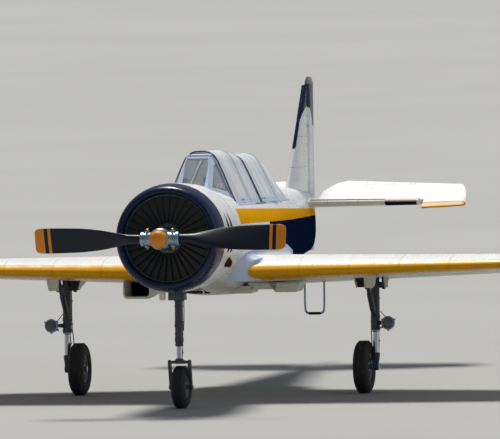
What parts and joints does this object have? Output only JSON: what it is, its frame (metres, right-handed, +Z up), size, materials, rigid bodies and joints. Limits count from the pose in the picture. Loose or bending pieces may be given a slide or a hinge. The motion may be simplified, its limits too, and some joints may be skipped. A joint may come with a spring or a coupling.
{
  "type": "light aircraft",
  "caption": "Low-wing two-seat trainer with a round radial-engine cowl, shuttered nose, long framed canopy, bubble of sliding hoods and fixed nose-wheel gear.",
  "frame": {"origin": "on the ground below the middle of the aircraft's span and length", "axes": "+X towards the pilot's left wing tip, +Y towards the tail, +Z up from the ground"},
  "size_m": [9.3, 7.7555, 2.8328],
  "materials": {
    "white_paint": "gloss paint on sheet",
    "navy_paint": "gloss paint on sheet",
    "orange_paint": "gloss paint on sheet",
    "blade_paint": "painted",
    "fabric_paint": "doped and painted",
    "frame_paint": "satin paint",
    "steel": "satin",
    "black_paint": "matt",
    "engine_iron": "matt",
    "tyre": "matt",
    "clear_glass": "polished",
    "leather": "worn"
  },
  "bodies": {
    "airframe": {"cowl_nose_ring": "navy_paint", "cowl_panel_upper": "white_paint", "cowl_panel_lower": "white_paint", "cooling_shutters": "black_paint", "engine_block": "engine_iron", "fuselage_cockpit": "white_paint", "fuselage_tail": "white_paint", "fin": "white_paint", "stabilizer_left": "white_paint", "stabilizer_right": "white_paint", "wing_left": "white_paint", "exhaust_left": "engine_iron", "main_leg_left": "steel", "leg_lamp_left": "steel", "wing_right": "white_paint", "exhaust_right": "engine_iron", "main_leg_right": "steel", "leg_lamp_right": "steel", "windscreen_frame": "frame_paint", "windscreen_glass_centre": "clear_glass", "windscreen_glass_left": "clear_glass", "windscreen_glass_right": "clear_glass", "canopy_middle_frame": "frame_paint", "canopy_middle_glass": "clear_glass", "canopy_rear_frame": "frame_paint", "canopy_rear_glass": "clear_glass", "seat_front": "black_paint", "seat_rear": "black_paint", "seat_cushion_front": "leather", "seat_cushion_rear": "leather", "instrument_panel_front": "black_paint", "instrument_panel_rear": "black_paint", "control_stick_front": "black_paint", "control_stick_rear": "black_paint", "nose_leg": "steel", "oil_cooler_scoop": "white_paint", "boarding_step": "steel", "whip_antenna": "frame_paint"},
    "propeller": {"propeller_dome": "orange_paint", "propeller_hub": "steel", "propeller_blade_1": "blade_paint", "propeller_blade_2": "blade_paint"},
    "aileron_left": {"aileron_left": "fabric_paint"},
    "aileron_right": {"aileron_right": "fabric_paint"},
    "flap_left": {"flap_left": "white_paint"},
    "flap_right": {"flap_right": "white_paint"},
    "elevator": {"elevator": "fabric_paint"},
    "rudder": {"rudder": "fabric_paint"},
    "front_hood": {"front_hood_frame": "frame_paint", "front_hood_glass": "clear_glass"},
    "rear_hood": {"rear_hood_frame": "frame_paint", "rear_hood_glass": "clear_glass"},
    "nose_fork": {"nose_fork": "steel"},
    "nose_wheel": {"nose_wheel_tyre": "tyre", "nose_wheel_rim": "black_paint"},
    "main_wheel_left": {"main_wheel_left_tyre": "tyre", "main_wheel_left_rim": "black_paint"},
    "main_wheel_right": {"main_wheel_right_tyre": "tyre", "main_wheel_right_rim": "black_paint"}
  },
  "joints": [
    {"name": "propeller_spin", "type": "hinge", "parent": "airframe", "child": "propeller", "pos_m": [0, -3.70946, 1.64559], "axis": [0, 0.999, -0.0436], "continuous": true},
    {"name": "nose_caster", "type": "hinge", "parent": "airframe", "child": "nose_fork", "pos_m": [0, -2.97382, 0.61251], "axis": [0, 0.0436, 0.999], "range_deg": [-20, 20]},
    {"name": "nose_wheel_spin", "type": "hinge", "parent": "nose_fork", "child": "nose_wheel", "pos_m": [0, -2.93178, 0.2], "axis": [1, 0, 0], "continuous": true},
    {"name": "main_wheel_left_spin", "type": "hinge", "parent": "airframe", "child": "main_wheel_left", "pos_m": [1.3925, -1.08784, 0.25], "axis": [1, 0, 0], "continuous": true},
    {"name": "main_wheel_right_spin", "type": "hinge", "parent": "airframe", "child": "main_wheel_right", "pos_m": [-1.3925, -1.08784, 0.25], "axis": [1, 0, 0], "continuous": true},
    {"name": "aileron_left_hinge", "type": "hinge", "parent": "airframe", "child": "aileron_left", "pos_m": [2.72, -0.80104, 1.16743], "axis": [-0.995, 0.0938, -0.0346], "range_deg": [-22, 16]},
    {"name": "aileron_right_hinge", "type": "hinge", "parent": "airframe", "child": "aileron_right", "pos_m": [-2.72, -0.80104, 1.16743], "axis": [-0.995, -0.0938, 0.0346], "range_deg": [-22, 16]},
    {"name": "flap_left_hinge", "type": "hinge", "parent": "airframe", "child": "flap_left", "pos_m": [0.68, -0.53694, 1.03333], "axis": [-0.9939, 0.1011, -0.0446], "range_deg": [0, 45]},
    {"name": "flap_right_hinge", "type": "hinge", "parent": "airframe", "child": "flap_right", "pos_m": [-0.68, -0.53694, 1.03333], "axis": [-0.9939, -0.1011, 0.0446], "range_deg": [0, 45]},
    {"name": "elevator_hinge", "type": "hinge", "parent": "airframe", "child": "elevator", "pos_m": [0, 3.11473, 1.59287], "axis": [1, 0, 0], "range_deg": [-45, 5]},
    {"name": "rudder_hinge", "type": "hinge", "parent": "airframe", "child": "rudder", "pos_m": [0, 3.20395, 1.34374], "axis": [0, 0.0436, 0.999], "range_deg": [-31.5, 18.5]},
    {"name": "front_hood_slide", "type": "slide", "parent": "airframe", "child": "front_hood", "axis": [0, 0.999, -0.0436], "range_m": [0, 0.47]},
    {"name": "rear_hood_slide", "type": "slide", "parent": "airframe", "child": "rear_hood", "axis": [0, 0.999, -0.0436], "range_m": [0, 0.6]}
  ]
}
